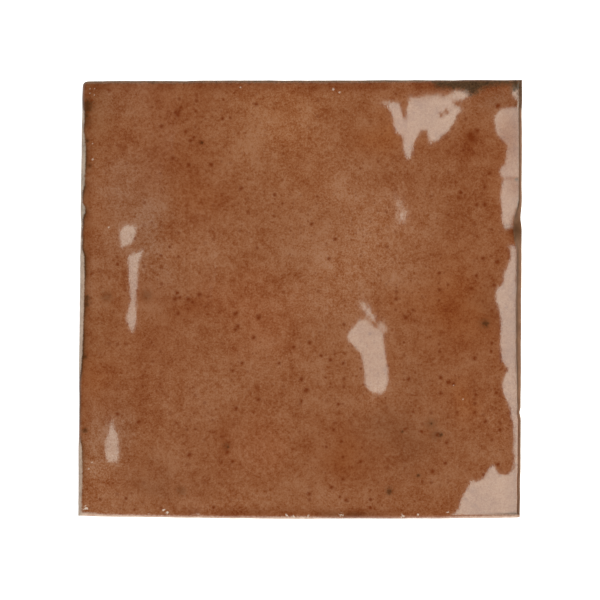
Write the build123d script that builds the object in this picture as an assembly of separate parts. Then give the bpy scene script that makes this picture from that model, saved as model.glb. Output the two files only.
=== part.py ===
"""Square porcelain wall tile with a hand-made look: one fired piece, lying on its back with the glazed face up.

The face rolls down to its edges and steps gently from place to place, the outline is a little out of square,
the arris is round, and the back has the shallow square pockets that key it to its adhesive.

Frame: +Z out of the glazed face, +Y towards the tile's top edge, origin on the back below the outline's middle.
Sizes are in millimetres and angles in degrees.
"""

import math
import os
from typing import NamedTuple

from build123d import *

# Outline, at its widest level just below the arris: mean size, and each corner's shift from a true rectangle
TILE_WIDTH = 132.0
TILE_LENGTH = 130.8
TOP_LEFT_SHIFT = Vector(0.6, -0.5)
TOP_RIGHT_SHIFT = Vector(0.5, 0.4)
BOTTOM_RIGHT_SHIFT = Vector(-0.3, -0.1)
BOTTOM_LEFT_SHIFT = Vector(-0.5, 0.1)
TOP_BOW = 0.1
RIGHT_BOW = 0.05
BOTTOM_BOW = 0.6
LEFT_BOW = 0.2
TOP_LEFT_CORNER_RADIUS = 1.6

# Section
THICKNESS = 9.0
ARRIS_RADIUS = 1.2
SIDE_DRAFT = 0.2
BACK_CHAMFER = 0.7

# Pockets of the back
POCKET_PITCH = 20.0
POCKET_RIB = 4.0
POCKET_DEPTH = 0.7
POCKET_CORNER_RADIUS = 1.5
BACK_MARGIN = 4.0

# Roll of the face down to its edges
ROLL_WIDTH = 7.0
ROLL_DROP = 0.4

# Grid on which the face is laid out, and how far it and its cutter reach past the outline
FACE_GRID_STEP = 4.0
FACE_OVERHANG = 6.0


class Swell(NamedTuple):
    """A long low wave across the whole face."""

    length: float
    heading: float
    height: float
    phase: float


class Ledge(NamedTuple):
    """A place where the face steps down: a low crest, a slope that faces the heading, and a low hollow."""

    x: float
    y: float
    half_width: float
    half_length: float
    heading: float
    drop: float


SWELLS = (
    Swell(length=96.0, heading=28.0, height=0.10, phase=40.0),
    Swell(length=61.0, heading=-64.0, height=0.07, phase=115.0),
)
# Ledges in the middle of the face, then those that keep their distance from its left and right edges
RIGHT_EDGE = TILE_WIDTH / 2
LEFT_EDGE = -RIGHT_EDGE
LEDGES = (
    Ledge(x=37.0, y=53.0, half_width=9.0, half_length=8.0, heading=25.0, drop=0.65),
    Ledge(x=30.5, y=27.0, half_width=5.0, half_length=5.0, heading=5.0, drop=0.18),
    Ledge(x=22.0, y=-15.0, half_width=6.0, half_length=12.0, heading=5.0, drop=0.45),
    Ledge(x=LEFT_EDGE + 15.5, y=8.0, half_width=5.0, half_length=14.0, heading=3.0, drop=0.40),
    Ledge(x=LEFT_EDGE + 9.0, y=-42.0, half_width=5.0, half_length=7.0, heading=0.0, drop=0.40),
    Ledge(x=RIGHT_EDGE - 6.0, y=39.0, half_width=7.0, half_length=17.0, heading=0.0, drop=0.35),
    Ledge(x=RIGHT_EDGE - 5.0, y=-14.0, half_width=6.0, half_length=26.0, heading=0.0, drop=0.35),
    Ledge(x=RIGHT_EDGE - 9.0, y=-57.0, half_width=10.0, half_length=9.0, heading=-20.0, drop=0.60),
)


def swell_height(swell: Swell, x: float, y: float) -> float:
    """Height of one long wave at a point of the face."""
    heading = math.radians(swell.heading)
    along = x * math.cos(heading) + y * math.sin(heading)
    return swell.height * math.sin(2 * math.pi * along / swell.length + math.radians(swell.phase))


def ledge_height(ledge: Ledge, x: float, y: float) -> float:
    """Height of one ledge at a point: half its drop up at the crest, and half its drop down in the hollow."""
    heading = math.radians(ledge.heading)
    dx, dy = x - ledge.x, y - ledge.y
    across = (dx * math.cos(heading) + dy * math.sin(heading)) / ledge.half_width
    along = (dy * math.cos(heading) - dx * math.sin(heading)) / ledge.half_length
    return -ledge.drop / 2 * across * math.exp((1 - across**2) / 2) * math.exp(-(along**2) / 2)


def edge_roll(distance: float) -> float:
    """How far the face has rolled down at this distance inside an edge."""
    inside = max(0.0, 1 - max(0.0, distance) / ROLL_WIDTH)
    return ROLL_DROP * inside**2


def face_height(x: float, y: float) -> float:
    """Level of the glazed face above the back, at a point of the plan."""
    waves = sum(swell_height(swell, x, y) for swell in SWELLS)
    steps = sum(ledge_height(ledge, x, y) for ledge in LEDGES)
    rolls = edge_roll(TILE_WIDTH / 2 - abs(x)) + edge_roll(TILE_LENGTH / 2 - abs(y))
    return THICKNESS + waves + steps - rolls


def bowed_side(start: Vector, end: Vector, bow: float) -> Edge:
    """One side of the outline, taken clockwise, that bulges by its bow at the middle."""
    outward = (end - start).normalized().rotate(Axis.Z, 90)
    return ThreePointArc(start, (start + end) / 2 + outward * bow, end)


def outline(inset: float) -> Face:
    """Plan of the tile, this far inside its widest level: four slightly bowed sides, a little out of square."""
    right, top = TILE_WIDTH / 2 - inset, TILE_LENGTH / 2 - inset
    top_left = Vector(-right, top) + TOP_LEFT_SHIFT
    top_right = Vector(right, top) + TOP_RIGHT_SHIFT
    bottom_right = Vector(right, -top) + BOTTOM_RIGHT_SHIFT
    bottom_left = Vector(-right, -top) + BOTTOM_LEFT_SHIFT
    sides = [
        bowed_side(top_left, top_right, TOP_BOW),
        bowed_side(top_right, bottom_right, RIGHT_BOW),
        bowed_side(bottom_right, bottom_left, BOTTOM_BOW),
        bowed_side(bottom_left, top_left, LEFT_BOW),
    ]
    plan = make_face(Curve() + sides).face()
    worn_corner = plan.vertices().sort_by_distance(top_left)[0]
    plan = plan.fillet_2d(TOP_LEFT_CORNER_RADIUS, [worn_corner])
    return Pos(-plan.bounding_box().center()) * plan


def blank() -> Part:
    """Tile-shaped block with drafted sides and a chamfered back, taller than the tile by its cutter's overhang."""
    draft_per_height = SIDE_DRAFT / THICKNESS
    back = outline(SIDE_DRAFT + BACK_CHAMFER)
    over_chamfer = Pos(0, 0, BACK_CHAMFER) * outline(SIDE_DRAFT - draft_per_height * BACK_CHAMFER)
    over_face = Pos(0, 0, THICKNESS + FACE_OVERHANG) * outline(-draft_per_height * FACE_OVERHANG)
    return loft([back, over_chamfer, over_face], ruled=True)


def steps_between(low: float, high: float) -> list[float]:
    """Evenly spaced places from low to high, at most a grid step apart."""
    count = math.ceil((high - low) / FACE_GRID_STEP)
    return [low + (high - low) * i / count for i in range(count + 1)]


def above_the_face() -> Part:
    """Everything over the glazed face, as a solid to cut away."""
    reach_x = TILE_WIDTH / 2 + FACE_OVERHANG
    reach_y = TILE_LENGTH / 2 + FACE_OVERHANG
    columns = steps_between(-reach_x, reach_x)
    rows = steps_between(-reach_y, reach_y)
    points = [[(x, y, face_height(x, y)) for x in columns] for y in rows]
    face = Face.make_surface_from_array_of_points(points, tol=0.01, min_deg=3, max_deg=3)
    return extrude(face, amount=2 * FACE_OVERHANG, dir=(0, 0, 1))


def pockets() -> Part:
    """Shallow square pockets of the back, as many as the margin leaves room for, with a rib on each middle line."""
    side = POCKET_PITCH - POCKET_RIB
    across = 2 * math.floor((TILE_WIDTH / 2 - BACK_MARGIN) / POCKET_PITCH)
    along = 2 * math.floor((TILE_LENGTH / 2 - BACK_MARGIN) / POCKET_PITCH)
    places = GridLocations(POCKET_PITCH, POCKET_PITCH, across, along)
    mouths = Sketch() + [place * RectangleRounded(side, side, POCKET_CORNER_RADIUS) for place in places]
    return extrude(mouths, amount=POCKET_DEPTH)


def tile() -> Part:
    """The whole fired piece."""
    body = blank() - above_the_face()
    face_edges = body.faces().sort_by(Axis.Z)[-1].edges()
    return fillet(face_edges, ARRIS_RADIUS) - pockets()


os.makedirs("parts", exist_ok=True)
export_step(tile(), "parts/tile.step")
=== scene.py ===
"""Looks of the porcelain wall tile: glazed face with fine relief, bare sides and back, and the studio.

Sizes are in millimetres, and turn to metres where they reach Blender. Places seen in the photo are given in
its pixels, from its top left corner, and reach the tile along the camera's own rays.
"""

import math
from typing import NamedTuple

import bmesh
import bpy
import numpy as np
from mathutils import Matrix, Vector
from mathutils.geometry import convex_hull_2d


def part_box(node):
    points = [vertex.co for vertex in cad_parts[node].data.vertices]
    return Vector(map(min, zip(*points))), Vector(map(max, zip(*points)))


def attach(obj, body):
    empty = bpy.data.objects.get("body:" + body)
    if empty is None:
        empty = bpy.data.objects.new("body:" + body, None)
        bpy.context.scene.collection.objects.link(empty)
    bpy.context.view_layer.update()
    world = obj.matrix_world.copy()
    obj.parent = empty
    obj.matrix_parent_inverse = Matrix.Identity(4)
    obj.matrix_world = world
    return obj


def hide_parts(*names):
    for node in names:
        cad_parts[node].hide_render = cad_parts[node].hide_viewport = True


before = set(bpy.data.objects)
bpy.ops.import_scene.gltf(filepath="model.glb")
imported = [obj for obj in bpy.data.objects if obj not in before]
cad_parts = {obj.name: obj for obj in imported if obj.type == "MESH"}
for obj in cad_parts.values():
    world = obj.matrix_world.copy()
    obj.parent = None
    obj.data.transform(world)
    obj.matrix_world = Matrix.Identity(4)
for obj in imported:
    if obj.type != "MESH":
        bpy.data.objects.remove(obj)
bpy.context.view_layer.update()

MM = 0.001

# Camera: nearly above the tile, this many degrees to its left and below its bottom edge
PHOTO_SIZE = 600
PIXEL = 0.29874
CAMERA_DISTANCE = 3000.0
CAMERA_LEFT = 3.0
CAMERA_DOWN = 4.0
AIM = Vector((-0.24, -0.50, 8.0))
SENSOR_WIDTH = 36.0
CLIP_START = 10.0
CLIP_END = 100000.0

# Long soft light on the right, parallel to the tile's right edge, between two angles from the vertical
LIGHT_DISTANCE = 5000.0
LIGHT_INNER = 7.6
LIGHT_OUTER = 27.0
LIGHT_LENGTH = 9000.0
LIGHT_RADIANCE = 6.2
LIGHT_COLOUR = (0.97, 1.0, 0.89)

# Studio: pale up to one height and dark above another, as sines of the angle above the horizon
PALE_BELOW = 0.3
DARK_ABOVE = 0.85
HORIZON_RADIANCE = 1.06
ZENITH_RADIANCE = 0.05

# Floor
FLOOR_REACH = 4000.0
FLOOR_LEVEL = -0.05
FLOOR_COLOUR = (0.8, 0.8, 0.8, 1)
FLOOR_ROUGHNESS = 0.9
FLOOR_GLOW = 0.9

# Section of the tile
FACE_LEVEL = 9.0
FACE_INSET = 1.2
BACK_CHAMFER = 0.7
SIDE_DRAFT = 0.2
POCKET_PITCH = 20.0
POCKET_SIDE = 16.0
POCKET_DEPTH = 0.7
POCKET_CORNER_RADIUS = 1.5
BACK_MARGIN = 4.0

# Mesh: cells along the face, rings over the arris and down the side, steps round a pocket's corner, steepest
# slope at the face's border, and the level below which all is back
FACE_CELLS = 272
ARRIS_RINGS = 8
WALL_RINGS = 4
CORNER_STEPS = 4
STEEPEST_BORDER = 0.5
BACK_LEVEL = 0.75

# Waves of the glaze
SWELLS = (
    # length, heading, height, phase
    (96.0, 28.0, 0.10, 40.0),
    (61.0, -64.0, 0.07, 115.0),
)
ROLL_WIDTH = 7.0
ROLL_DROP = 0.4

# Glints: how far their slope passes the one that mirrors the light, and the width of their borders; around
# them the slope falls short of it by GLINT_CLEAR times as much, fading with distance, and may stray a little
GLINT_MARGIN = 0.036
GLINT_BORDER = 1.2
GLINT_CLEAR = 1.5
GLINT_FADE = 4.0
GLINT_STRAY = 0.3

# Fit of the face to its slopes: weights far from the glints and along them, pull to the swells, and rounds
SLACK_WEIGHT = 0.06
CROSS_WEIGHT = 0.03
SWELL_PULL = 1e-5
STRAY_GAIN = 4
STRAY_ROUNDS = 4
FIT_STEPS = 900
FIT_LIMIT = 1e-12

# Ragged forms of flowing glaze: height, size and seed of each layer of lumps, and the mean they swing about;
# those that shift the clouds have their heights in photo pixels
GLINT_GROWTH = 0.2
GLINT_LUMPS = ((0.2, 1.6, 3), (0.25, 0.9, 4))
EDGE_DEPTH = 0.06
EDGE_LUMPS = ((0.06, 5.0, 11), (0.03, 1.7, 12))
CLOUD_LUMPS_X = ((10, 9.0, 21), (5, 4.0, 22))
CLOUD_LUMPS_Y = ((10, 9.0, 23), (5, 4.0, 24))
PATCHY_MEAN = 0.75
PATCHY_LUMPS = ((0.5, 4.0, 31),)

# Places where the glaze slopes to the right and so mirrors the light, outlined in photo pixels
GLINTS = {
    "top_right": [
        (377, 102.5), (384, 100.3), (399, 100.5), (402, 102.5), (401.5, 110), (402, 117), (404.5, 120.5),
        (407, 117), (406, 108), (405.8, 99.7), (408.5, 96.6), (423, 95.4), (440, 94), (446, 93.8),
        (453, 92.3), (459, 91), (467, 91), (472.5, 94), (469, 98.5), (461, 100.8), (452.5, 102.3),
        (456, 106), (464, 108), (461, 112), (456.5, 115), (454, 123), (450, 129), (444, 134), (438, 139),
        (433, 140.5), (431, 142), (429.5, 136.5), (426.5, 131), (421, 131.5), (417.5, 136), (411.7, 142),
        (410.7, 149), (411.5, 155), (409.5, 159), (406.5, 158.5), (405.5, 150), (405, 142), (403, 136),
        (394.5, 132.3), (393.3, 124), (392.8, 116), (388, 109),
    ],
    "top_corner": [(513, 88), (518, 88), (518, 100), (514, 96)],
    "right_upper": [
        (494, 117), (498, 112), (504, 109), (518, 108), (518, 200), (516, 208), (513.5, 215),
        (512.5, 222), (512, 228), (505, 228), (503, 220), (501, 204), (502, 188), (504, 181),
        (512, 178.5), (504, 177), (500, 174), (500, 169), (506, 165), (508, 150), (508, 144), (500, 137),
        (496, 129),
    ],
    "right_lower": [
        (509, 246), (515, 247), (515.5, 300), (515.5, 396), (517, 412), (516.5, 467), (515, 467),
        (514.5, 445), (513, 422), (510.5, 408), (507.5, 401), (504.5, 394), (502.5, 386), (503, 381),
        (505, 376), (508.5, 372), (510.5, 368), (506, 365), (503, 361), (501.5, 352), (501.5, 330),
        (500.5, 312), (496.5, 300), (497.5, 289), (502.5, 286), (504.5, 282), (504.5, 274), (508, 266),
        (511.5, 258), (511.5, 251),
    ],
    "bottom_corner": [
        (516, 471), (516, 514), (456, 513), (462, 500), (468.5, 488), (470.5, 481.3), (481, 481.3),
        (487, 474), (492.7, 467), (497.5, 474.5), (505, 477), (511.5, 473.5),
    ],
    "middle": [
        (366, 320.5), (370, 324), (376, 327.5), (381.5, 331), (382.5, 337), (384, 352), (387, 370),
        (388, 380), (385, 390), (380, 393), (370, 390), (365, 385), (364.5, 367), (362.5, 353),
        (357, 348), (351, 343), (347.5, 337), (349.5, 330), (355, 326), (361, 322),
    ],
    "middle_prong": [
        (361.5, 302.5), (364.5, 304.5), (369, 309), (372.5, 314.5), (374, 319), (372, 318.5),
        (368.5, 315), (363.5, 309),
    ],
    "middle_horn": [(376, 329), (377.5, 325), (382, 324), (386.5, 330), (383, 337)],
    "left_blob": [
        (125, 225.5), (134, 225.5), (136.5, 229), (135.3, 237.5), (132, 241.5), (122.5, 246), (120, 240),
        (119, 233), (122, 227.5),
    ],
    "left_streak": [
        (128.7, 256.3), (136, 253.5), (142, 250.7), (140, 258), (137.5, 263), (137, 275), (136.3, 285),
        (135, 297), (135.2, 305), (136.2, 313), (135.5, 322), (133.5, 331.5), (131.5, 331.5),
        (128.6, 324), (127.4, 315), (129, 309), (131, 300), (130.4, 285), (129, 270),
    ],
    "left_tear": [
        (113, 426), (115.5, 433), (118, 445), (118.3, 457), (116.5, 461), (109, 460.3), (106.5, 457),
        (105.8, 447), (108.5, 436),
    ],
    "left_tear_tip": [(112, 419), (114, 425), (114.5, 431), (110, 431), (111, 424)],
    "faint": [
        (398, 211), (403, 208.5), (407.5, 211.5), (408, 218), (403.5, 222.5), (397.5, 221), (396, 215),
    ],
    "faint_tail": [
        (396, 194), (399, 195), (401.5, 204), (406.5, 209), (407, 215), (396.5, 215), (395, 206),
    ],
}

# Gaps in the glints, as centre and radius in photo pixels
GLINT_GAPS = ((442, 114, 2.6), (446.5, 112, 2.2), (440, 116, 1.6), (373.5, 322, 1.6))

# Soft glints: how many times as soft their borders are as the others', and how far they fall short
SOFT_GLINTS = {
    "faint": (2.5, 0.34),
    "faint_tail": (2.5, 0.6),
    "middle_prong": (2.0, 0.2),
    "middle_horn": (2.0, 0.15),
    "left_tear_tip": (2.4, 0.3),
}

# Tones of the soft clouds, as shifts in display levels of red, green and blue, and what a level is worth
TONES = {
    "bloom": (15, 18, 20),
    "cream": (12, 11, 8),
    "blush": (9, 3, 2),
    "slate": (1, 8, 14),
    "rust": (-3, -10, -14),
    "umber": (-9, -13, -14),
    "ink": (-12, -9, -7),
    "moss": (-11, -8, -8),
}
LEVEL_GAIN = (0.0152, 0.0234, 0.0339)
TINT_LIMITS = (0.2, 3)

# Soft clouds of the glaze, by tone: centre and half sizes in photo pixels, and strength
CLOUDS = {
    "bloom": (
        (379, 232, 40, 44, 0.9), (338, 276, 36, 38, 0.8), (336, 185, 30, 25, 0.4),
        (382, 391, 18, 16, 0.6), (94, 463, 24, 28, 1.0), (332, 496, 14, 16, 0.4),
        (244, 500, 34, 14, 0.45), (98, 500, 26, 22, 0.5), (280, 380, 24, 26, 0.3),
        (300, 300, 34, 20, 0.25), (500, 424, 22, 16, 0.3), (290, 134, 34, 22, 0.35),
        (205, 250, 56, 22, 0.35), (196, 382, 70, 46, 0.25), (200, 502, 22, 8, 0.5),
    ),
    "cream": ((305, 150, 40, 70, 0.4), (272, 108, 36, 30, 0.6), (250, 146, 44, 24, 0.3)),
    "blush": ((250, 300, 42, 24, 0.6), (270, 336, 32, 24, 0.5), (266, 440, 24, 30, 0.5)),
    "slate": (
        (143, 232, 22, 58, 1.0), (118, 182, 18, 28, 0.5), (100, 256, 24, 26, 0.4),
        (120, 96, 40, 18, 0.45), (494, 96, 28, 16, 0.5), (110, 432, 24, 26, 0.8), (100, 464, 30, 30, 0.5),
    ),
    "rust": (
        (384, 128, 32, 18, 0.9), (457, 296, 30, 42, 0.6), (463, 403, 24, 20, 0.8), (88, 385, 20, 24, 0.6),
        (506, 196, 18, 44, 0.35), (200, 197, 32, 20, 0.4), (409, 302, 26, 20, 0.4),
    ),
    "umber": (
        (458, 304, 26, 34, 0.4), (472, 141, 18, 17, 1.0), (191, 305, 28, 11, 1.0),
        (338, 456, 30, 26, 1.2), (146, 298, 22, 12, 0.6), (226, 439, 12, 24, 0.8),
        (178, 156, 40, 28, 0.7), (161, 338, 42, 22, 0.5), (178, 100, 36, 20, 0.6),
        (457, 344, 30, 28, 0.6), (482, 180, 20, 40, 0.15), (494, 330, 20, 60, 0.4),
    ),
    "ink": (
        (403, 440, 36, 34, 0.9), (161, 482, 24, 18, 0.7), (494, 312, 18, 26, 0.6),
        (415, 376, 18, 20, 0.35), (498, 96, 24, 14, 0.5), (512, 237, 9, 7, 1.2),
    ),
    "moss": ((90, 108, 22, 40, 0.8), (92, 330, 18, 40, 0.4)),
}

# Dark rust spots and grey ones: centre and radius in photo pixels
RUST_SPOTS = (
    (176, 113, 4.0), (178, 114, 4.4), (179, 111, 3.0), (181, 108, 2.6), (161, 127, 2.8), (185, 132, 2.7),
    (190, 141, 2.7), (194, 137, 2.5), (202, 142, 4.0), (211, 164, 3.1), (189, 165, 2.9), (172, 158, 3.5),
    (256, 104, 3.0), (222, 118, 2.5), (241, 189, 3.0), (329, 259, 2.7), (406, 318, 3.0), (396, 298, 3.0),
    (471, 136, 5.4), (471.5, 138.5, 5.4), (477, 131, 3.4), (498, 106, 3.6), (311, 224, 2.7),
    (236, 314, 3.5), (258, 317, 3.9), (238, 326, 3.0), (236, 330, 2.7), (253, 338, 2.9), (293, 347, 2.9),
    (310, 342, 3.0), (320, 355, 2.7), (331, 360, 2.7), (343, 364, 3.0), (242, 363, 2.6), (233, 371, 2.5),
    (279, 363, 2.6), (301, 379, 3.1), (306, 390, 3.7), (259, 400, 3.0), (301, 401, 2.6), (338, 404, 2.7),
    (236, 409, 2.9), (449, 382, 3.6), (453, 383, 3.0), (440, 393, 3.0), (409, 379, 2.9), (440, 377, 2.9),
    (475, 394, 2.7), (496, 393, 2.6), (421, 432, 2.7), (438, 434, 3.5), (486, 421, 3.2), (447, 442, 2.9),
    (446, 463, 2.7), (433, 471, 3.0), (499, 430, 2.2), (498, 464, 2.7), (190, 455, 3.0), (139, 422, 3.0),
    (117, 414, 3.0), (179, 314, 3.0), (175.3, 299.3, 3.6), (177.6, 293, 3.0), (180.7, 297.8, 2.8),
    (188.6, 299.8, 3.4), (193, 301.5, 2.6), (199, 294, 3.4), (214, 508, 2.7), (489, 174, 2.8),
    (484, 187, 3.0), (461, 192, 2.8), (485, 204, 3.2), (476, 205, 2.8), (483, 258, 2.8), (497, 261, 3.4),
    (476, 276, 2.8), (472, 288, 2.8), (494, 285, 2.6), (475, 358, 3.4), (475, 411, 2.6), (334, 430, 2.4),
    (341, 441, 2.6), (343, 457, 2.4), (361, 462, 2.4), (343, 480, 2.8), (331, 488, 2.8), (310, 493, 2.8),
    (346, 500, 2.8), (340, 497, 2.2), (232, 462, 2.6), (227, 452, 3.2),
)
GREY_SPOTS = (
    (201, 142, 2.8), (486.5, 324, 4.6), (390, 492, 3.6), (403, 432, 2.2), (440, 435, 3.0),
    (431, 424, 2.1), (228, 447, 2.2), (418, 475, 2.8), (87, 104, 6.5), (88, 109, 5.5), (86, 116, 3.5),
    (87, 140, 3.0), (89, 166, 3.0), (86.5, 298, 5.0), (86.5, 304, 4.6), (85, 357, 4.0), (84, 431, 4.0),
    (516, 179, 3.0),
)

# Faint grey smudges, painted glint specks, and chips along the lower edge: centre and radius in photo pixels
SMUDGES = (
    (107, 297.5, 7.8), (147, 295, 8.2), (88, 106, 9.0), (87, 122, 7.0), (86, 300, 7.0), (431, 424, 8.0),
    (436, 434, 8.0), (390, 491, 6.4), (226, 446, 5.5), (182, 491, 7.0), (485, 324, 8.0),
)
# The glint specks are painted highlights: tiny pale dots where pits in the glaze catch the light
PAINTED_GLINT_SPECKS = (
    (93, 159, 1.6), (108, 227, 1.4), (90, 88, 0.8), (94, 89, 0.8), (90, 94, 0.8), (95, 95, 0.8),
    (240, 88, 1.4), (333, 90, 2.0), (340, 92, 1.6), (89, 468, 1.4), (92, 462, 1.2), (453, 385, 1.0),
    (463, 400, 0.9), (92, 143, 1.0),
)
CHIPS = (
    (85, 508, 3.0), (149, 513, 1.6), (164, 510, 2.0), (167, 513, 2.2), (287, 515, 2.0), (293, 516, 2.2),
    (308, 516, 1.8), (341, 514, 2.4), (402, 516, 2.4), (418, 514, 1.6), (448, 513, 1.8),
)

# Dark patches at the top edge and in the top right corner, outlined in photo pixels
DARK_PATCHES = (
    [
        (428, 79), (512, 79), (512, 84.5), (497, 84.5), (488, 86.5), (480, 90), (475, 95), (469, 94),
        (463, 90), (448, 88.5), (436, 87),
    ],
    [(509, 79), (523, 79), (523, 108), (518.5, 108), (518, 91), (513, 92)],
    [(84, 79), (428, 78.5), (428, 81), (84, 81.6)],
)

# How far inside the outline the body is bare of glaze, at photo pixels along each side; the glaze runs down
# the side where this is negative, and a blend below 1 softens the border
BARE_LEFT = (
    (80, -0.6), (104, -0.1), (112, 0.6), (120, 0.7), (130, 0.5), (140, 0.95), (152, 1.2), (165, 1.15),
    (185, 1.0), (194, 0.35), (202, 0.4), (207, 1.3), (213, 1.2), (219, 0.35), (227, 0.4), (233, 0.2),
    (240, 0.5), (248, 0.35), (256, 1.1), (275, 1.25), (298, 1.2), (330, 1.05), (350, 0.9), (370, 0.5),
    (382, -0.25), (410, -0.35), (434, -0.25), (446, 0.9), (468, 1.1), (484, 1.05), (496, 0.95),
    (510, 1.0),
)
BARE_BOTTOM = (
    (80, 1.1), (92, 0.75), (104, 0.5), (122, 0.4), (145, 0.38), (183, 0.36), (222, 0.32), (262, 0.32),
    (290, 0.47), (303, 0.52), (320, 0.25), (335, -0.1), (362, -0.15), (392, -0.1), (430, -0.08),
    (462, 0.35), (490, 0.55), (510, 0.6),
)
BARE_RIGHT = -0.6
BARE_TOP = ((420, -0.2), (432, -0.6))
BOTTOM_BLEND = 0.6

# How far inside the outline the glaze is worn to a dull greyish brown, along the right and top sides
WORN_RIGHT = (
    (80, 0.6), (110, 1.05), (135, 1.05), (180, 1.0), (200, 1.1), (210, 1.5), (221, 2.2), (230, 2.6),
    (240, 2.3), (250, 1.5), (300, 1.6), (360, 1.55), (400, 1.2), (420, 0.85), (470, 0.8), (520, 0.9),
)
WORN_TOP = ((80, 0.75), (420, 0.8), (432, 0.3))
TOP_BLEND = 0.5

# Dark umber rims: strength along each side, then the middle and half width of the band; the line beside the
# bare left strip fades beyond a gap instead, and RIM_NICK is in the worn nick of the right side
LINE_LEFT = ((320, 0.8), (345, 1.04), (420, 0.96), (440, 0.8), (472, 0.48), (500, 0.16), (520, 0.08))
LINE_GAP = 0.35
LINE_FADE = 0.45
RIM_RIGHT = ((80, 0.5), (200, 0.75), (400, 0.75), (425, 0.45), (480, 0.5), (495, 0.8))
RIM_RIGHT_BAND = (0.15, 0.3)
RIM_BOTTOM = ((310, 0.0), (335, 0.3), (365, 0.3), (395, 0.0))
RIM_BOTTOM_BAND = (1.1, 0.9)
RIM_CORNER = ((465, 0.0), (485, 0.25), (500, 0.6), (520, 0.8))
RIM_CORNER_BAND = (1.05, 0.3)
RIM_NICK = 0.6
RIM_NICK_BAND = (230, 15)
RIM_NICK_BORDER = 0.2
RIM_LIFT = 0.2
RIM_MOST = 0.9

# Burnt bands inside the edges, in the same way
BURN_LEFT = ((80, 1.1), (180, 0.9), (240, 0.6), (420, 0.6), (450, 0.2))
BURN_LEFT_BAND = (2.0, 1.5)
BURN_BOTTOM = ((165, 0.0), (190, 0.8), (300, 0.9), (330, 1.3), (365, 1.3), (400, 0.6), (430, 0.0))
BURN_BOTTOM_BAND = (1.7, 1.2)
BURN_RIGHT = 0.6
BURN_RIGHT_BAND = (1.6, 2.0)
BURN_TOP = 1.1
BURN_TOP_BAND = (1.8, 1.5)

# Bare body: painted shade down the left side, warm parts by the bottom edge and in the lower left strip
LEFT_SHADE = 0.5
WARM_BOTTOM = (0.5, 1.5)
WARM_BOTTOM_START = (0.0, 2.0)
WARM_LEFT = 0.5
WARM_LEFT_START = (0.0, 0.8)
WARM_LEFT_END = (2.0, 3.0)
WARM_LEFT_DOWN = (220, 280)

# Farthest distance from a border that a mark still tells
MARK_REACH = 3

# Places where the glaze is dull: centre and half sizes in photo pixels, and strength
DULL = (
    (508, 138, 18, 36, 0.52), (514, 186, 10, 14, 0.44), (128, 236, 14, 16, 0.38),
    (112, 446, 14, 26, 0.43), (513, 178.5, 12, 3, 0.57), (518, 230, 9, 16, 1.0), (80, 410, 6, 34, 0.8),
    (133, 292, 16, 70, 0.34), (369, 352, 45, 75, 0.29),
)

# Nicks in the outline: place in photo pixels, half length and depth
NICKS = (
    (520, 413, 1.1, 0.45), (521, 217, 2.4, 0.28), (80, 222, 2.0, 0.15), (79, 410, 7.0, 0.12),
    (83, 114, 3.0, 0.1),
)


def camera_axes():
    """Right, up and backward directions of the camera, with the tile's top edge up in the picture."""
    left, down = math.radians(CAMERA_LEFT), math.radians(CAMERA_DOWN)
    back = Vector((-math.tan(left), -math.tan(down), 1)).normalized()
    right = Vector((0, 1, 0)).cross(back).normalized()
    return right, back.cross(right), back


RIGHT, UP, BACK = camera_axes()
EYE = AIM + BACK * CAMERA_DISTANCE


def photo_to_face(points):
    """Places on the level of the face that photo pixels show."""
    rays = [
        (RIGHT * (px - PHOTO_SIZE / 2) + UP * (PHOTO_SIZE / 2 - py)) * PIXEL / CAMERA_DISTANCE - BACK
        for px, py in points
    ]
    places = [EYE + ray * ((FACE_LEVEL - EYE.z) / ray.z) for ray in rays]
    return np.array([(place.x, place.y) for place in places])


def face_to_photo(x, y, z):
    """Photo pixels that show these places."""
    dx, dy, dz = x - EYE.x, y - EYE.y, z - EYE.z
    depth = -(dx * BACK.x + dy * BACK.y + dz * BACK.z)
    across = dx * RIGHT.x + dy * RIGHT.y + dz * RIGHT.z
    upward = dx * UP.x + dy * UP.y + dz * UP.z
    scale = CAMERA_DISTANCE / PIXEL / depth
    return PHOTO_SIZE / 2 + across * scale, PHOTO_SIZE / 2 - upward * scale


def make_camera():
    data = bpy.data.cameras.new("camera")
    data.sensor_width = SENSOR_WIDTH
    data.lens = SENSOR_WIDTH * CAMERA_DISTANCE / (PHOTO_SIZE * PIXEL)
    data.clip_start, data.clip_end = CLIP_START * MM, CLIP_END * MM
    camera = bpy.data.objects.new("camera", data)
    bpy.context.scene.collection.objects.link(camera)
    turn = Matrix((RIGHT, UP, BACK)).transposed().to_4x4()
    camera.matrix_world = Matrix.Translation(EYE * MM) @ turn
    bpy.context.scene.camera = camera


def light_axes():
    """Width direction and outward direction of the light, and its centre."""
    angle = math.radians((LIGHT_INNER + LIGHT_OUTER) / 2)
    across = Vector((math.cos(angle), 0, -math.sin(angle)))
    outward = Vector((math.sin(angle), 0, math.cos(angle)))
    return across, outward, outward * LIGHT_DISTANCE


def light_half_width():
    return LIGHT_DISTANCE * math.tan(math.radians((LIGHT_OUTER - LIGHT_INNER) / 2))


def make_light():
    across, outward, centre = light_axes()
    data = bpy.data.lights.new("soft_light", "AREA")
    data.shape = "RECTANGLE"
    data.size = 2 * light_half_width() * MM
    data.size_y = LIGHT_LENGTH * MM
    data.energy = LIGHT_RADIANCE * math.pi * data.size * data.size_y
    data.color = LIGHT_COLOUR
    light = bpy.data.objects.new("soft_light", data)
    bpy.context.scene.collection.objects.link(light)
    turn = Matrix((across, Vector((0, 1, 0)), outward)).transposed().to_4x4()
    light.matrix_world = Matrix.Translation(centre * MM) @ turn


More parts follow.
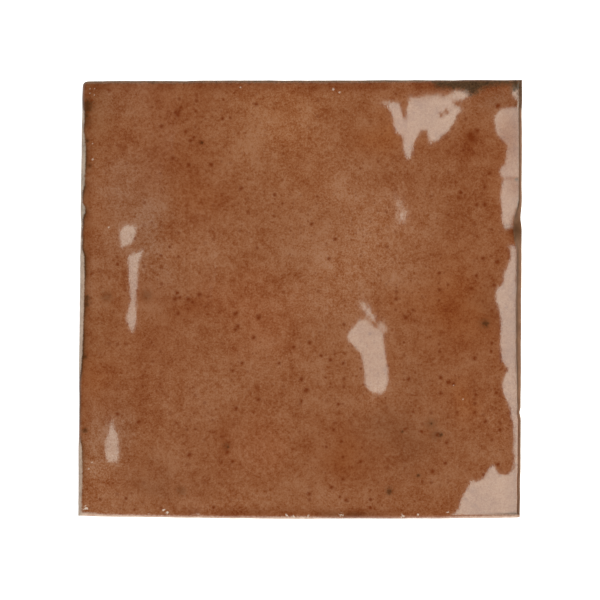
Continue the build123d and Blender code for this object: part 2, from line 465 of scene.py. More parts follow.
def make_world():
    """Studio that is pale all round and dark overhead, so that the level glaze mirrors little."""
    world = bpy.data.worlds.new("studio")
    world.use_nodes = True
    tree = world.node_tree
    way = tree.nodes.new("ShaderNodeSeparateXYZ")
    tree.links.new(tree.nodes.new("ShaderNodeTexCoord").outputs["Generated"], way.inputs["Vector"])
    fade = tree.nodes.new("ShaderNodeMapRange")
    limits = {
        "From Min": PALE_BELOW,
        "From Max": DARK_ABOVE,
        "To Min": HORIZON_RADIANCE,
        "To Max": ZENITH_RADIANCE,
    }
    for name, value in limits.items():
        fade.inputs[name].default_value = value
    tree.links.new(way.outputs["Z"], fade.inputs["Value"])
    background = tree.nodes["Background"]
    background.inputs["Color"].default_value = (1, 1, 1, 1)
    tree.links.new(fade.outputs["Result"], background.inputs["Strength"])
    bpy.context.scene.world = world


def mirror_slope(x):
    """Slope down to the right at which a place on the face mirrors the light's inner edge to the camera."""
    across, _, centre = light_axes()
    edge = centre - across * light_half_width()
    to_eye = np.arctan2(EYE.x - x, EYE.z - FACE_LEVEL)
    to_edge = np.arctan2(edge.x - x, edge.z - FACE_LEVEL)
    return np.tan((to_eye + to_edge) / 2)


def noise(x, y, size, seed):
    """Smooth random lumps about this size, between about -1 and 1."""
    reach = 100.0
    cells = int(2 * reach / size) + 3
    lattice = np.random.default_rng(seed).uniform(-1, 1, (cells, cells))
    gx, gy = (x + reach) / size, (y + reach) / size
    i, j = np.floor(gx).astype(int), np.floor(gy).astype(int)
    fx, fy = gx - i, gy - j
    fx, fy = fx * fx * (3 - 2 * fx), fy * fy * (3 - 2 * fy)
    low = lattice[j, i] * (1 - fx) + lattice[j, i + 1] * fx
    high = lattice[j + 1, i] * (1 - fx) + lattice[j + 1, i + 1] * fx
    return low * (1 - fy) + high * fy


def lumpy(base, x, y, layers):
    """A base value with layers of lumps on it, each with its height, size and seed."""
    for height, size, seed in layers:
        base = base + height * noise(x, y, size, seed)
    return base


def inside_distance(outline, x, y):
    """How far each place lies inside a closed outline, negative outside it."""
    nearest = np.full(x.shape, np.inf)
    inside = np.zeros(x.shape, bool)
    for (ax, ay), (bx, by) in zip(outline, np.roll(outline, -1, axis=0)):
        dx, dy = bx - ax, by - ay
        along = np.clip(((x - ax) * dx + (y - ay) * dy) / (dx * dx + dy * dy), 0, 1)
        nearest = np.minimum(nearest, np.hypot(x - ax - along * dx, y - ay - along * dy))
        if dy:
            inside ^= ((ay > y) != (by > y)) & (x < ax + (y - ay) * dx / dy)
    return np.where(inside, nearest, -nearest)


def glint_distance(x, y):
    """How far each place lies inside the nearest glint, with the ragged borders of flowing glaze."""
    deepest = np.full(x.shape, -np.inf)
    for name, outline in GLINTS.items():
        softness, shortfall = SOFT_GLINTS.get(name, (1, 0))
        inside = inside_distance(photo_to_face(outline), x, y) / softness - shortfall
        deepest = np.maximum(deepest, inside)
    for px, py, radius in GLINT_GAPS:
        (cx, cy), = photo_to_face([(px, py)])
        deepest = np.minimum(deepest, np.hypot(x - cx, y - cy) - radius * PIXEL)
    return lumpy(deepest + GLINT_GROWTH, x, y, GLINT_LUMPS)


def plan_loop():
    """Widest outline of the CAD tile: a closed loop, with FACE_CELLS steps from corner to corner."""
    plan = [vertex.co.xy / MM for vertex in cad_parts["tile"].data.vertices]
    hull = np.array([plan[i] for i in convex_hull_2d(plan)])
    corners = [int(np.argmax(hull @ np.array(way))) for way in ((-1, -1), (1, -1), (1, 1), (-1, 1))]
    loop = []
    for start, end in zip(corners, corners[1:] + corners[:1]):
        run = hull[start:end + 1] if start < end else np.vstack([hull[start:], hull[:end + 1]])
        reach = np.concatenate([[0], np.cumsum(np.hypot(*np.diff(run, axis=0).T))])
        steps = np.linspace(0, reach[-1], FACE_CELLS, endpoint=False)
        loop.append(np.stack([np.interp(steps, reach, run[:, axis]) for axis in (0, 1)], axis=1))
    loop = np.vstack(loop)
    depth = lumpy(EDGE_DEPTH, loop[:, 0], loop[:, 1], EDGE_LUMPS)
    for px, py, half_length, deepest in NICKS:
        (cx, cy), = photo_to_face([(px, py)])
        away = np.hypot(loop[:, 0] - cx, loop[:, 1] - cy)
        depth += deepest * bell(away, 0, half_length)
    return loop - depth[:, None] * outward_ways(loop)


def outward_ways(loop):
    """Way out of the loop at each of its points, such that both sides of a corner move out alike.

    Between two corners the points slide along their side as well, so that they stay evenly spaced.
    """
    n = FACE_CELLS
    along = np.roll(loop, -1, axis=0) - loop
    along /= np.linalg.norm(along, axis=1, keepdims=True)
    after = np.stack([along[:, 1], -along[:, 0]], axis=1)
    before = np.roll(after, 1, axis=0)
    ways = (before + after) / (1 + np.sum(before * after, axis=1, keepdims=True))
    share = np.linspace(0, 1, n, endpoint=False)
    for start in range(0, len(loop), n):
        end = (start + n) % len(loop)
        slide_at_start = ways[start] @ along[start]
        slide_at_end = ways[end] @ along[start + n - 1]
        slide = slide_at_start * (1 - share) + slide_at_end * share
        side = slice(start + 1, start + n)
        ways[side] += slide[1:, None] * along[side]
    return ways


def patch(loop):
    """Grid of places that fills a loop, row by row from its bottom side."""
    n = FACE_CELLS
    closed = np.vstack([loop, loop[:1]])
    bottom, right = closed[:n + 1], closed[n:2 * n + 1]
    top, left = closed[2 * n:3 * n + 1][::-1], closed[3 * n:][::-1]
    u = np.linspace(0, 1, n + 1)[None, :, None]
    v = np.linspace(0, 1, n + 1)[:, None, None]
    corners = (
        (1 - u) * (1 - v) * bottom[0] + u * (1 - v) * bottom[-1] + (1 - u) * v * top[0] + u * v * top[-1]
    )
    return (1 - v) * bottom + v * top + (1 - u) * left[:, None] + u * right[:, None] - corners


def base_height(x, y):
    """Long swells of the face, with its roll down to the left, top and bottom edges."""
    height = np.full(x.shape, FACE_LEVEL)
    for length, heading, amplitude, phase in SWELLS:
        way = math.radians(heading)
        along = x * math.cos(way) + y * math.sin(way)
        height += amplitude * np.sin(2 * np.pi * along / length + math.radians(phase))
    low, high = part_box("tile")
    for inside in (x - low.x / MM, y - low.y / MM, high.y / MM - y):
        height -= ROLL_DROP * np.clip(1 - inside / ROLL_WIDTH, 0, 1) ** 2
    return height


def solve_heights(start, step_x, step_y, slope_x, slope_y, weight_x, weight_y, hold):
    """Heights whose slopes come nearest to the wanted ones, by conjugate gradients."""
    wx, wy = weight_x / step_x**2, weight_y / step_y**2

    def gather(flow_x, flow_y):
        out = np.zeros(start.shape)
        out[:, 1:] += flow_x
        out[:, :-1] -= flow_x
        out[1:] += flow_y
        out[:-1] -= flow_y
        return out

    def apply(h):
        return gather(wx * np.diff(h, axis=1), wy * np.diff(h, axis=0)) + hold * h

    wanted = gather(wx * step_x * slope_x, wy * step_y * slope_y) + hold * start
    height = start.copy()
    rest = wanted - apply(height)
    way = rest.copy()
    power = np.sum(rest * rest)
    for _ in range(FIT_STEPS):
        pushed = apply(way)
        size = power / np.sum(way * pushed)
        height += size * way
        rest -= size * pushed
        last, power = power, np.sum(rest * rest)
        if power < FIT_LIMIT:
            break
        way = rest + way * (power / last)
    return height


def face_heights(places):
    """Level of the glaze at each place of the grid: swells, and the slopes that mirror the light."""
    x, y = places[..., 0], places[..., 1]
    start = base_height(x, y)
    step_x, step_y = np.diff(x, axis=1), np.diff(y, axis=0)
    mid_x, mid_y = (x[:, 1:] + x[:, :-1]) / 2, (y[:, 1:] + y[:, :-1]) / 2
    inside = glint_distance(mid_x, mid_y)
    mirror = mirror_slope(mid_x)
    base_slope = -np.diff(start, axis=1) / step_x
    clear_way = GLINT_CLEAR * GLINT_BORDER
    clear = mirror - GLINT_CLEAR * GLINT_MARGIN
    near = np.exp(np.minimum(inside + clear_way, 0) / GLINT_FADE)
    wanted = mirror + GLINT_MARGIN * np.clip(inside / GLINT_BORDER, -GLINT_CLEAR, 1)
    outside = near * clear + (1 - near) * np.minimum(base_slope, clear)
    wanted = np.where(inside > -clear_way, wanted, outside)
    weight_x = SLACK_WEIGHT + (1 - SLACK_WEIGHT) * near**3
    weight_y = np.full(step_y.shape, CROSS_WEIGHT)
    slope_y = np.diff(start, axis=0) / step_y
    for _ in range(STRAY_ROUNDS):
        height = solve_heights(start, step_x, step_y, -wanted, slope_y, weight_x, weight_y, SWELL_PULL)
        slope = -np.diff(height, axis=1) / step_x
        stray = (inside < -clear_way) & (slope > clear + GLINT_STRAY * GLINT_MARGIN)
        if not stray.any():
            break
        weight_x = np.where(stray, STRAY_GAIN * weight_x, weight_x)
        wanted = np.where(stray, clear - GLINT_STRAY * GLINT_MARGIN, wanted)
    return height


def ring_order():
    """Indices of the grid's border, in the order of the loop."""
    n = FACE_CELLS
    index = np.arange((n + 1) ** 2).reshape(n + 1, n + 1)
    return np.concatenate([index[0, :-1], index[:-1, -1], index[-1, :0:-1], index[:0:-1, 0]])


def pocket_outline(cx, cy):
    """Rounded square mouth of one pocket of the back."""
    points = []
    reach = POCKET_SIDE / 2 - POCKET_CORNER_RADIUS
    for corner, (sx, sy) in enumerate(((1, 1), (-1, 1), (-1, -1), (1, -1))):
        for step in range(CORNER_STEPS + 1):
            angle = math.radians(90 * (corner + step / CORNER_STEPS))
            points.append((
                cx + sx * reach + POCKET_CORNER_RADIUS * math.cos(angle),
                cy + sy * reach + POCKET_CORNER_RADIUS * math.sin(angle),
            ))
    return points


def closeness(spots, px, py):
    """1 at the middle of the nearest spot, 0 at its rim and negative outside, not below -1.

    Each spot is centred on the vertex nearest to its place, so that none falls between vertices.
    """
    nearest = np.full(px.shape, -1.0)
    for cx, cy, radius in spots:
        middle = np.argmin(np.hypot(px - cx, py - cy))
        nearest = np.maximum(nearest, 1 - np.hypot(px - px[middle], py - py[middle]) / radius)
    return nearest


def cloud_tint(px, py, x, y):
    """Factor on the glaze's colour from its soft clouds."""
    wx = lumpy(px, x, y, CLOUD_LUMPS_X)
    wy = lumpy(py, x, y, CLOUD_LUMPS_Y)
    tint = np.ones(px.shape + (3,))
    for tone, clouds in CLOUDS.items():
        shift = np.array(TONES[tone]) * LEVEL_GAIN
        for cx, cy, half_x, half_y, strength in clouds:
            share = strength * bell(wx, cx, half_x) * bell(wy, cy, half_y)
            tint += share[:, None] * shift
    return np.clip(tint, *TINT_LIMITS)


def side_insets(x, y, depth, loop):
    """How far each point lies inside the left, bottom, right and top sides, less its depth down the side."""
    n = FACE_CELLS
    bottom, right, top, left = loop[:n], loop[n:2 * n], loop[2 * n:3 * n][::-1], loop[3 * n:][::-1]
    return (
        x - np.interp(y, left[:, 1], left[:, 0]) - depth,
        y - np.interp(x, bottom[:, 0], bottom[:, 1]) - depth,
        np.interp(y, right[:, 1], right[:, 0]) - x - depth,
        np.interp(x, top[:, 0], top[:, 1]) - y - depth,
    )


def bell(value, middle, width):
    """1 at the middle, falling off smoothly on both sides."""
    return np.exp(-(((value - middle) / width) ** 2))


def rise(value, low, high):
    """0 below the low level, 1 above the high one, and a straight line between them."""
    return np.clip((value - low) / (high - low), 0, 1)


def fall(value, low, high):
    """1 below the low level, 0 above the high one, and a straight line between them."""
    return 1 - rise(value, low, high)


def at(table, places):
    """What a table of places and values says at these places; its ends hold beyond it."""
    return np.interp(places, *zip(*table))


def edge_marks(px, py, x, y, depth, loop):
    """Marks along the edges: bare body and its tones, worn glaze, dark rims, burnt bands and dull corner."""
    left, bottom, right, top = side_insets(x, y, depth, loop)
    bare_left = at(BARE_LEFT, py) - left
    bare_bottom = (at(BARE_BOTTOM, px) - bottom) * BOTTOM_BLEND
    bare_top = at(BARE_TOP, px) - top
    bare = np.maximum.reduce([bare_left, bare_bottom, BARE_RIGHT - right, bare_top])
    worn_right = at(WORN_RIGHT, py) - right
    worn_top = (at(WORN_TOP, px) - top) * TOP_BLEND
    patchy = lumpy(PATCHY_MEAN, x, y, PATCHY_LUMPS)
    corner = at(RIM_CORNER, px) * bell(bottom, *RIM_CORNER_BAND)
    nick = bell(py, *RIM_NICK_BAND) * rise(worn_right, -RIM_NICK_BORDER, RIM_NICK_BORDER)
    rim = np.maximum.reduce([
        at(LINE_LEFT, py) * np.exp(np.minimum(bare_left + LINE_GAP, 0) / LINE_FADE),
        at(RIM_RIGHT, py) * bell(worn_right, *RIM_RIGHT_BAND),
        RIM_NICK * nick,
        at(RIM_BOTTOM, px) * bell(bottom, *RIM_BOTTOM_BAND),
        corner,
    ])
    burn = np.maximum.reduce([
        at(BURN_LEFT, py) * bell(left, *BURN_LEFT_BAND),
        at(BURN_BOTTOM, px) * bell(bottom, *BURN_BOTTOM_BAND),
        BURN_RIGHT * bell(right, *BURN_RIGHT_BAND),
        BURN_TOP * bell(top, *BURN_TOP_BAND),
    ])
    warm_bottom = fall(bottom, *WARM_BOTTOM) * fall(depth, *WARM_BOTTOM) * rise(left, *WARM_BOTTOM_START)
    warm_left = rise(left, *WARM_LEFT_START) * fall(left, *WARM_LEFT_END) * rise(py, *WARM_LEFT_DOWN)
    return {
        "bare": np.clip(bare, -MARK_REACH, MARK_REACH),
        "worn": np.clip(np.maximum(worn_right, worn_top), -MARK_REACH, MARK_REACH),
        "rim": np.clip((patchy + RIM_LIFT) * rim, 0, RIM_MOST),
        "burn": np.clip(patchy * burn, 0, 1),
        # painted shade: the bare body darkened down the left side, away from the light
        "shade": LEFT_SHADE * rise(depth, 0, 1) * fall(left + depth, 0, 1),
        "warm": np.maximum(warm_bottom, WARM_LEFT * warm_left),
        "dull": corner,
    }


def mark_surface(mesh, points, depth, loop):
    """Stores on the mesh what its materials read: tints, spots, dark patches, and the marks along its edges.
    """
    x, y, z = points.T
    px, py = face_to_photo(x, y, z)
    marks = edge_marks(px, py, x, y, depth, loop)
    for cx, cy, half_x, half_y, strength in DULL:
        place = strength * bell(px, cx, half_x) * bell(py, cy, half_y)
        marks["dull"] = np.maximum(marks["dull"], place)
    dark_patch = np.maximum.reduce([inside_distance(photo_to_face(outline), x, y) for outline in DARK_PATCHES])
    marks["dark_patch"] = np.clip(dark_patch, -MARK_REACH, MARK_REACH)
    marks["rust_spot"] = closeness(RUST_SPOTS, px, py)
    marks["grey_spot"] = closeness(GREY_SPOTS, px, py)
    marks["smudge"] = closeness(SMUDGES, px, py)
    marks["painted_glint_speck"] = closeness(PAINTED_GLINT_SPECKS, px, py)
    marks["chip"] = closeness(CHIPS, px, py)
    for name, values in marks.items():
        stored = mesh.attributes.new(name, "FLOAT", "POINT")
        stored.data.foreach_set("value", values.astype(np.float32))
    tint = np.column_stack([cloud_tint(px, py, x, y), np.ones(len(x))])
    stored = mesh.attributes.new("tint", "FLOAT_COLOR", "POINT")
    stored.data.foreach_set("color", tint.astype(np.float32).ravel())


def edge_rings(loop, ways, places, heights):
    """Rings of points from the face's border over the arris and down the side to the back.

    Each comes with how far its points lie below the arris.
    """
    border = ring_order()
    middle = FACE_CELLS // 2
    step = np.linalg.norm(places[middle, 1] - places[middle, 0])
    grad_y, grad_x = np.gradient(heights)
    slopes = np.stack([grad_x.reshape(-1)[border], grad_y.reshape(-1)[border]], axis=1) / step
    tilt = np.arctan(np.clip(-np.sum(slopes * ways, axis=1), 0, STEEPEST_BORDER))
    radius = FACE_INSET / (1 - np.sin(tilt))
    edge_height = heights.reshape(-1)[border]
    rings = []
    for k in range(1, ARRIS_RINGS + 1):
        turn = tilt + (np.pi / 2 - tilt) * k / ARRIS_RINGS
        inset = FACE_INSET - radius * (np.sin(turn) - np.sin(tilt))
        level = edge_height - radius * (np.cos(tilt) - np.cos(turn))
        rings.append(np.column_stack([loop - inset[:, None] * ways, level]))
    wall_top = rings[-1][:, 2]
    depths = [np.zeros(len(loop)) for _ in rings]
    for k in range(1, WALL_RINGS + 1):
        share = k / WALL_RINGS
        level = wall_top + (BACK_CHAMFER - wall_top) * share
        rings.append(np.column_stack([loop - SIDE_DRAFT * share * ways, level]))
        depths.append(wall_top - level)
    rings.append(np.column_stack([loop - (SIDE_DRAFT + BACK_CHAMFER) * ways, np.zeros(len(loop))]))
    depths.append(wall_top)
    return rings, depths


def close_back(mesh, rim):
    """Fills the back inside its rim, with the shallow pockets that key it to its adhesive."""
    work = bmesh.new()
    work.from_mesh(mesh)
    work.verts.ensure_lookup_table()
    for face in work.faces:
        face.smooth = True
    back_edges = [work.edges.get((work.verts[a], work.verts[b])) for a, b in zip(rim, np.roll(rim, -1))]
    _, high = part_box("tile")
    across = 2 * math.floor((high.x / MM - BACK_MARGIN) / POCKET_PITCH)
    centres = [(i - (across - 1) / 2) * POCKET_PITCH for i in range(across)]
    for cx in centres:
        for cy in centres:
            mouth = [work.verts.new((x * MM, y * MM, 0)) for x, y in pocket_outline(cx, cy)]
            floor = [work.verts.new((v.co.x, v.co.y, POCKET_DEPTH * MM)) for v in mouth]
            for i in range(len(mouth)):
                j = (i + 1) % len(mouth)
                back_edges.append(work.edges.new((mouth[i], mouth[j])))
                work.faces.new((mouth[j], mouth[i], floor[i], floor[j]))
            work.faces.new(floor[::-1])
    bmesh.ops.triangle_fill(work, use_beauty=True, edges=back_edges, normal=(0, 0, -1))
    for face in work.faces:
        if max(v.co.z for v in face.verts) < BACK_LEVEL * MM:
            face.smooth = False
            face.material_index = 1
    work.to_mesh(mesh)
    work.free()


def make_tile():
    """The whole tile as one closed mesh: face, arris, sides, chamfer, and back with its pockets."""
    loop = plan_loop()
    ways = outward_ways(loop)
    places = patch(loop - FACE_INSET * ways)
    heights = face_heights(places)
    rings, depths = edge_rings(loop, ways, places, heights)

    n = FACE_CELLS
    index = np.arange((n + 1) ** 2).reshape(n + 1, n + 1)
    cells = np.stack([index[:-1, :-1], index[:-1, 1:], index[1:, 1:], index[1:, :-1]], axis=-1)
    quads = [cells.reshape(-1, 4)]
    last = ring_order()
    first_new = (n + 1) ** 2
    for _ in rings:
        here = first_new + np.arange(len(loop))
        quads.append(np.stack([last, here, np.roll(here, -1), np.roll(last, -1)], axis=-1))
        last = here
        first_new += len(loop)

    mesh = bpy.data.meshes.new("glazed_tile")
    points = np.vstack([np.column_stack([places.reshape(-1, 2), heights.reshape(-1)]), *rings])
    mesh.from_pydata((points * MM).tolist(), [], np.vstack(quads).tolist())
    mark_surface(mesh, points, np.concatenate([np.zeros((n + 1) ** 2), *depths]), loop)
    close_back(mesh, last)
    tile = bpy.data.objects.new("glazed_tile", mesh)
    bpy.context.scene.collection.objects.link(tile)
    return tile


class Nodes:
    """Short way to add nodes to a material and join them."""

    def __init__(self, name):
        self.material = bpy.data.materials.new(name)
        self.material.use_nodes = True
        self.tree = self.material.node_tree
        self.shader = self.tree.nodes["Principled BSDF"]

    def put(self, target, value):
        if isinstance(value, bpy.types.NodeSocket):
            self.tree.links.new(value, target)
        else:
            target.default_value = value

    def add(self, kind, inputs=None, **settings):
        node = self.tree.nodes.new("ShaderNode" + kind)
        for key, value in settings.items():
            setattr(node, key, value)
        for key, value in (inputs or {}).items():
            self.put(node.inputs[key], value)
        return node

    def math(self, operation, a, b):
        return self.add("Math", {0: a, 1: b}, operation=operation).outputs[0]

    def smooth(self, value, low, high, to_low=0.0, to_high=1.0):
        """Smooth step of a value between two levels."""
        inputs = {"Value": value, "From Min": low, "From Max": high, "To Min": to_low, "To Max": to_high}
        return self.add("MapRange", inputs, interpolation_type="SMOOTHSTEP").outputs["Result"]

    def mix(self, share, a, b, blend="MIX"):
        node = self.add("Mix", data_type="RGBA", blend_type=blend)
        for socket, value in ((node.inputs[0], share), (node.inputs[6], a), (node.inputs[7], b)):
            self.put(socket, value)
        return node.outputs[2]

    def mark(self, name, output="Fac"):
        """What the mesh stores under this name."""
        return self.add("Attribute", attribute_name=name).outputs[output]

    def noise(self, scale, detail, roughness):
        where = self.add("TexCoord").outputs["Object"]
        inputs = {"Vector": where, "Scale": scale, "Detail": detail, "Roughness": roughness}
        return self.add("TexNoise", inputs).outputs["Fac"]

    def share_of(self, value, share):
        return self.math("MULTIPLY", value, share)

    def most(self, *values):
        """Greatest of some values."""
        top = values[0]
        for value in values[1:]:
            top = self.math("MAXIMUM", top, value)
        return top

    def relief(self, grain, height):
        """Gives the surface a fine relief of this height."""
        inputs = {"Height": self.noise(*grain), "Distance": height * MM, "Strength": 1.0}
        self.put(self.shader.inputs["Normal"], self.add("Bump", inputs).outputs["Normal"])

    def ramp(self, value, *stops):
        """Colour of a value, from places and their colours."""
        node = self.add("ValToRGB", {"Fac": value})
        ramp = node.color_ramp
        while len(ramp.elements) < len(stops):
            ramp.elements.new(0.5)
        for element, (place, colour) in zip(ramp.elements, stops):
            element.position, element.color = place, (*colour, 1)
        return node.outputs["Color"]


class Grain(NamedTuple):
    """Noise in a material: lumps in a metre, finer layers, and how strong those are."""

    scale: float
    detail: float
    roughness: float


class Dots(NamedTuple):
    """Random dots: size of their cells, share of cells that hold one, widest reach and strength."""

    cell_size: float
    share: float
    widest: float
    strength: float


class Cover(NamedTuple):
    """How a mark covers the glaze: raggedness of its border, levels where it fades in, and strength."""

    ragged: float
    low: float
    high: float
    strength: float


# Noise: its mean, and its kinds in the glaze and in the bare body
NOISE_MEAN = 0.5
CLOUD_GRAIN = Grain(scale=60.0, detail=7.0, roughness=1.0)
FINE_GRAIN = Grain(scale=1700.0, detail=2.0, roughness=1.0)
FINE_STRENGTH = 0.6
DENSE_GRAIN = Grain(scale=45.0, detail=2.0, roughness=0.5)
RAGGED_GRAIN = Grain(scale=1700.0, detail=2.0, roughness=0.6)
MOTTLE_GRAIN = Grain(scale=1300.0, detail=3.0, roughness=0.8)
PATCH_GRAIN = Grain(scale=1500.0, detail=3.0, roughness=0.8)
TONE_GRAIN = Grain(scale=500.0, detail=4.0, roughness=0.6)
PEEL_GRAIN = Grain(scale=1600.0, detail=1.0, roughness=0.5)
BACK_GRAIN = Grain(scale=220.0, detail=6.0, roughness=0.65)
BACK_RELIEF_GRAIN = Grain(scale=1800.0, detail=4.0, roughness=0.7)
TONE_LEVELS = (0.3, 0.7)
PATCH_LEVELS = (0.35, 0.65)

# Fine rust dots all over the glaze, thinner in some places
COARSE_DOTS = Dots(cell_size=2.6, share=0.45, widest=0.30, strength=0.9)
FINE_DOTS = Dots(cell_size=1.1, share=0.5, widest=0.45, strength=0.6)
DOT_BORDER = 0.02
DOT_CORE = 0.7
FAINTEST_DOT = 0.3
SPARSEST = 0.25

# Marks on the glaze
RUST_COVER = Cover(ragged=1.8, low=-0.1, high=0.85, strength=0.95)
GREY_COVER = Cover(ragged=1.8, low=-0.1, high=0.9, strength=0.85)
SMUDGE_COVER = Cover(ragged=1.5, low=-0.1, high=0.9, strength=0.32)
SPECK_COVER = Cover(ragged=1.0, low=0.0, high=0.6, strength=0.5)
CHIP_COVER = Cover(ragged=3.0, low=0.1, high=0.9, strength=0.75)
WORN_COVER = Cover(ragged=0.4, low=-0.2, high=0.2, strength=0.85)
BARE_COVER = Cover(ragged=0.6, low=-0.3, high=0.3, strength=1.0)
DARK_PATCH_COVER = Cover(ragged=3.0, low=-0.9, high=0.9, strength=0.95)
DARK_PATCH_GAIN = 0.7

# Shine
GLAZE_IOR = 1.52
GLAZE_ROUGHNESS = 0.092
WORN_ROUGHNESS = 0.6
SPECK_ROUGHNESS = 0.5
GLAZE_SPECULAR = 0.5
DULL_SPECULAR = 0.1
WORN_DULLNESS = 0.5
PEEL_HEIGHT = 0.009
BODY_ROUGHNESS = 0.75
BODY_RELIEF = 0.12

# Colours in linear light: the glaze with its spread about the mean, its marks, and the bare body
GLAZE = (0.2425, 0.0842, 0.0336)
GLAZE_SPREAD = (1.75, 3.8, 6.3)
GLAZE_LEAN = 2.2
GLAZE_STEPS = (-0.2, -0.1, 0.0, 0.1, 0.2)
BURNT = (0.78, 0.63, 0.50, 1)
RUST = (0.135, 0.022, 0.002, 1)
UMBER = (0.062, 0.022, 0.006, 1)
GREY = (0.066, 0.020, 0.004, 1)
DARK_PATCH_DEEPEST = (0.028, 0.016, 0.0085)
DARK_PATCH_PALEST = (0.092, 0.049, 0.024)
WORN_DARK = (0.13, 0.055, 0.024)
WORN_PALE = (0.23, 0.115, 0.06)
# SPECK is the colour of the painted glint specks
SPECK = (0.52, 0.40, 0.33, 1)
CHIP = (0.66, 0.54, 0.46, 1)
BODY_DARK = (0.225, 0.170, 0.134)
BODY_PALE = (0.395, 0.300, 0.238)
WARM_DARK = (0.40, 0.225, 0.155)
WARM_PALE = (0.56, 0.39, 0.31)
# SHADED is the painted shade laid over the bare body down the left side
SHADED = (0.12, 0.10, 0.085, 1)
BACK_DARK = (0.40, 0.33, 0.28)
BACK_PALE = (0.60, 0.52, 0.45)


def speckle(n, dots):
    """Strength of dots at random places."""
    where = n.add("TexCoord").outputs["Object"]
    inputs = {"Vector": where, "Scale": 1 / (dots.cell_size * MM), "Randomness": 1.0}
    cells = n.add("TexVoronoi", inputs, voronoi_dimensions="2D")
    chance = n.add("SeparateColor", {"Color": cells.outputs["Color"]}).outputs
    reach = n.smooth(chance[0], 1 - dots.share, 1.0, 0.0, dots.widest)
    inside = n.math("SUBTRACT", reach, cells.outputs["Distance"])
    core = n.smooth(inside, -DOT_BORDER, dots.widest * DOT_CORE)
    dot = n.math("MULTIPLY", core, n.smooth(chance[1], 0.0, 1.0, FAINTEST_DOT, 1.0))
    return n.share_of(dot, dots.strength)


def covered(n, mark, ragged, cover):
    """How far a mark covers each place, with a ragged border."""
    return n.smooth(n.math("ADD", mark, n.share_of(ragged, cover.ragged)), cover.low, cover.high)


def between(n, value, levels, dark, pale):
    """Colour from dark to pale as a value goes from one level to another."""
    return n.ramp(value, (levels[0], dark), (levels[1], pale))


def glaze_colour(step):
    """Colour of the glaze at a step from its mean, leaning more to the dark than to the pale."""
    lean = step * (1 - GLAZE_LEAN * step)
    return [mean * math.exp(spread * lean) for mean, spread in zip(GLAZE, GLAZE_SPREAD)]


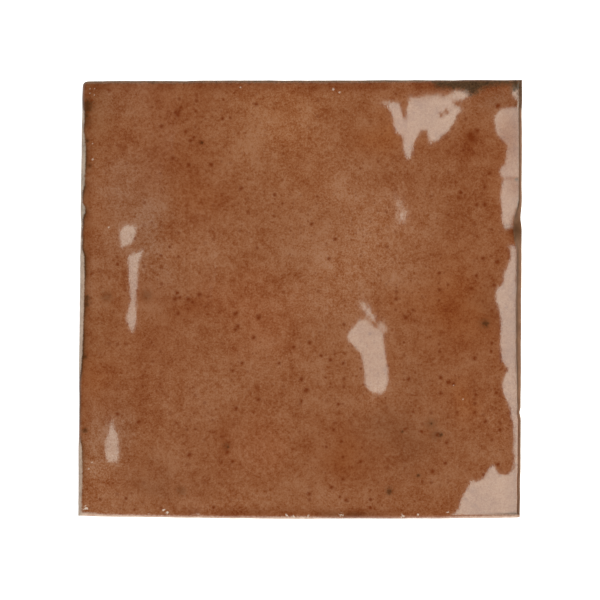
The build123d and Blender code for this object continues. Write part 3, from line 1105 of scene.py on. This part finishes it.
def glaze_material():
    """Glossy mottled brown glaze with rust spots and dark patches, broken at the edges to the bare body."""
    n = Nodes("brown_glaze")
    grain = n.share_of(n.math("SUBTRACT", n.noise(*FINE_GRAIN), NOISE_MEAN), FINE_STRENGTH)
    stops = [(NOISE_MEAN + step, glaze_colour(step)) for step in GLAZE_STEPS]
    colour = n.ramp(n.math("ADD", n.noise(*CLOUD_GRAIN), grain), *stops)
    colour = n.mix(1.0, colour, n.mark("tint", "Color"), "MULTIPLY")
    colour = n.mix(n.mark("burn"), colour, n.mix(1.0, colour, BURNT, "MULTIPLY"))

    dense = n.smooth(n.noise(*DENSE_GRAIN), *TONE_LEVELS, SPARSEST, 1.0)
    dots = n.most(speckle(n, COARSE_DOTS), speckle(n, FINE_DOTS))
    colour = n.mix(n.math("MULTIPLY", dense, dots), colour, RUST)
    ragged = n.math("SUBTRACT", n.noise(*RAGGED_GRAIN), NOISE_MEAN)
    spots = (
        ("rust_spot", RUST_COVER, RUST),
        ("grey_spot", GREY_COVER, GREY),
        ("smudge", SMUDGE_COVER, GREY),
    )
    for name, cover, paint in spots:
        spot = covered(n, n.mark(name), ragged, cover)
        colour = n.mix(n.share_of(spot, cover.strength), colour, paint)
    # painted glints: tiny pale specks where pits in the glaze catch the light
    speck = covered(n, n.mark("painted_glint_speck"), ragged, SPECK_COVER)
    colour = n.mix(n.share_of(speck, SPECK_COVER.strength), colour, SPECK)

    tone = n.noise(*TONE_GRAIN)
    worn = covered(n, n.mark("worn"), ragged, WORN_COVER)
    worn_paint = between(n, tone, TONE_LEVELS, WORN_DARK, WORN_PALE)
    colour = n.mix(n.share_of(worn, WORN_COVER.strength), colour, worn_paint)
    mottle = n.math("SUBTRACT", n.noise(*MOTTLE_GRAIN), NOISE_MEAN)
    dark_patch = covered(n, n.share_of(n.mark("dark_patch"), DARK_PATCH_GAIN), mottle, DARK_PATCH_COVER)
    patch_paint = between(n, n.noise(*PATCH_GRAIN), PATCH_LEVELS, DARK_PATCH_DEEPEST, DARK_PATCH_PALEST)
    colour = n.mix(n.share_of(dark_patch, DARK_PATCH_COVER.strength), colour, patch_paint)
    colour = n.mix(n.mark("rim"), colour, UMBER)

    bare = covered(n, n.mark("bare"), ragged, BARE_COVER)
    cool = between(n, tone, TONE_LEVELS, BODY_DARK, BODY_PALE)
    warm = between(n, tone, TONE_LEVELS, WARM_DARK, WARM_PALE)
    # painted shade over the bare body down the left side
    body = n.mix(n.mark("shade"), n.mix(n.mark("warm"), cool, warm), SHADED)
    colour = n.mix(n.share_of(bare, BARE_COVER.strength), colour, body)
    chip = covered(n, n.mark("chip"), ragged, CHIP_COVER)
    colour = n.mix(n.share_of(chip, CHIP_COVER.strength), colour, CHIP)

    n.put(n.shader.inputs["Base Color"], colour)
    rough = n.most(bare, worn, chip, n.share_of(speck, SPECK_ROUGHNESS))
    n.put(n.shader.inputs["Roughness"], n.smooth(rough, 0.0, 1.0, GLAZE_ROUGHNESS, WORN_ROUGHNESS))
    dull = n.most(dark_patch, n.mark("dull"), n.share_of(worn, WORN_DULLNESS))
    n.put(n.shader.inputs["Specular IOR Level"], n.smooth(dull, 0.0, 1.0, GLAZE_SPECULAR, DULL_SPECULAR))
    n.shader.inputs["IOR"].default_value = GLAZE_IOR
    n.relief(PEEL_GRAIN, PEEL_HEIGHT)
    return n.material


def body_material():
    """Bare fired porcelain of the sides and back."""
    n = Nodes("bare_porcelain")
    tone = n.noise(*BACK_GRAIN)
    n.put(n.shader.inputs["Base Color"], between(n, tone, TONE_LEVELS, BACK_DARK, BACK_PALE))
    n.shader.inputs["Roughness"].default_value = BODY_ROUGHNESS
    n.relief(BACK_RELIEF_GRAIN, BODY_RELIEF)
    return n.material


def floor_material():
    material = bpy.data.materials.new("pale_floor")
    material.use_nodes = True
    shader = material.node_tree.nodes["Principled BSDF"]
    shader.inputs["Base Color"].default_value = FLOOR_COLOUR
    shader.inputs["Roughness"].default_value = FLOOR_ROUGHNESS
    shader.inputs["Specular IOR Level"].default_value = 0
    shader.inputs["Emission Color"].default_value = (1, 1, 1, 1)
    shader.inputs["Emission Strength"].default_value = FLOOR_GLOW
    return material


def make_floor():
    mesh = bpy.data.meshes.new("floor")
    reach, level = FLOOR_REACH * MM, FLOOR_LEVEL * MM
    mesh.from_pydata(
        [(-reach, -reach, level), (reach, -reach, level), (reach, reach, level), (-reach, reach, level)],
        [],
        [(0, 1, 2, 3)],
    )
    floor = bpy.data.objects.new("floor", mesh)
    floor.data.materials.append(floor_material())
    bpy.context.scene.collection.objects.link(floor)


make_camera()
make_light()
make_world()
make_floor()
tile = make_tile()
tile.data.materials.append(glaze_material())
tile.data.materials.append(body_material())
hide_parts("tile")
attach(tile, "root")
bpy.context.scene.view_settings.view_transform = "Standard"
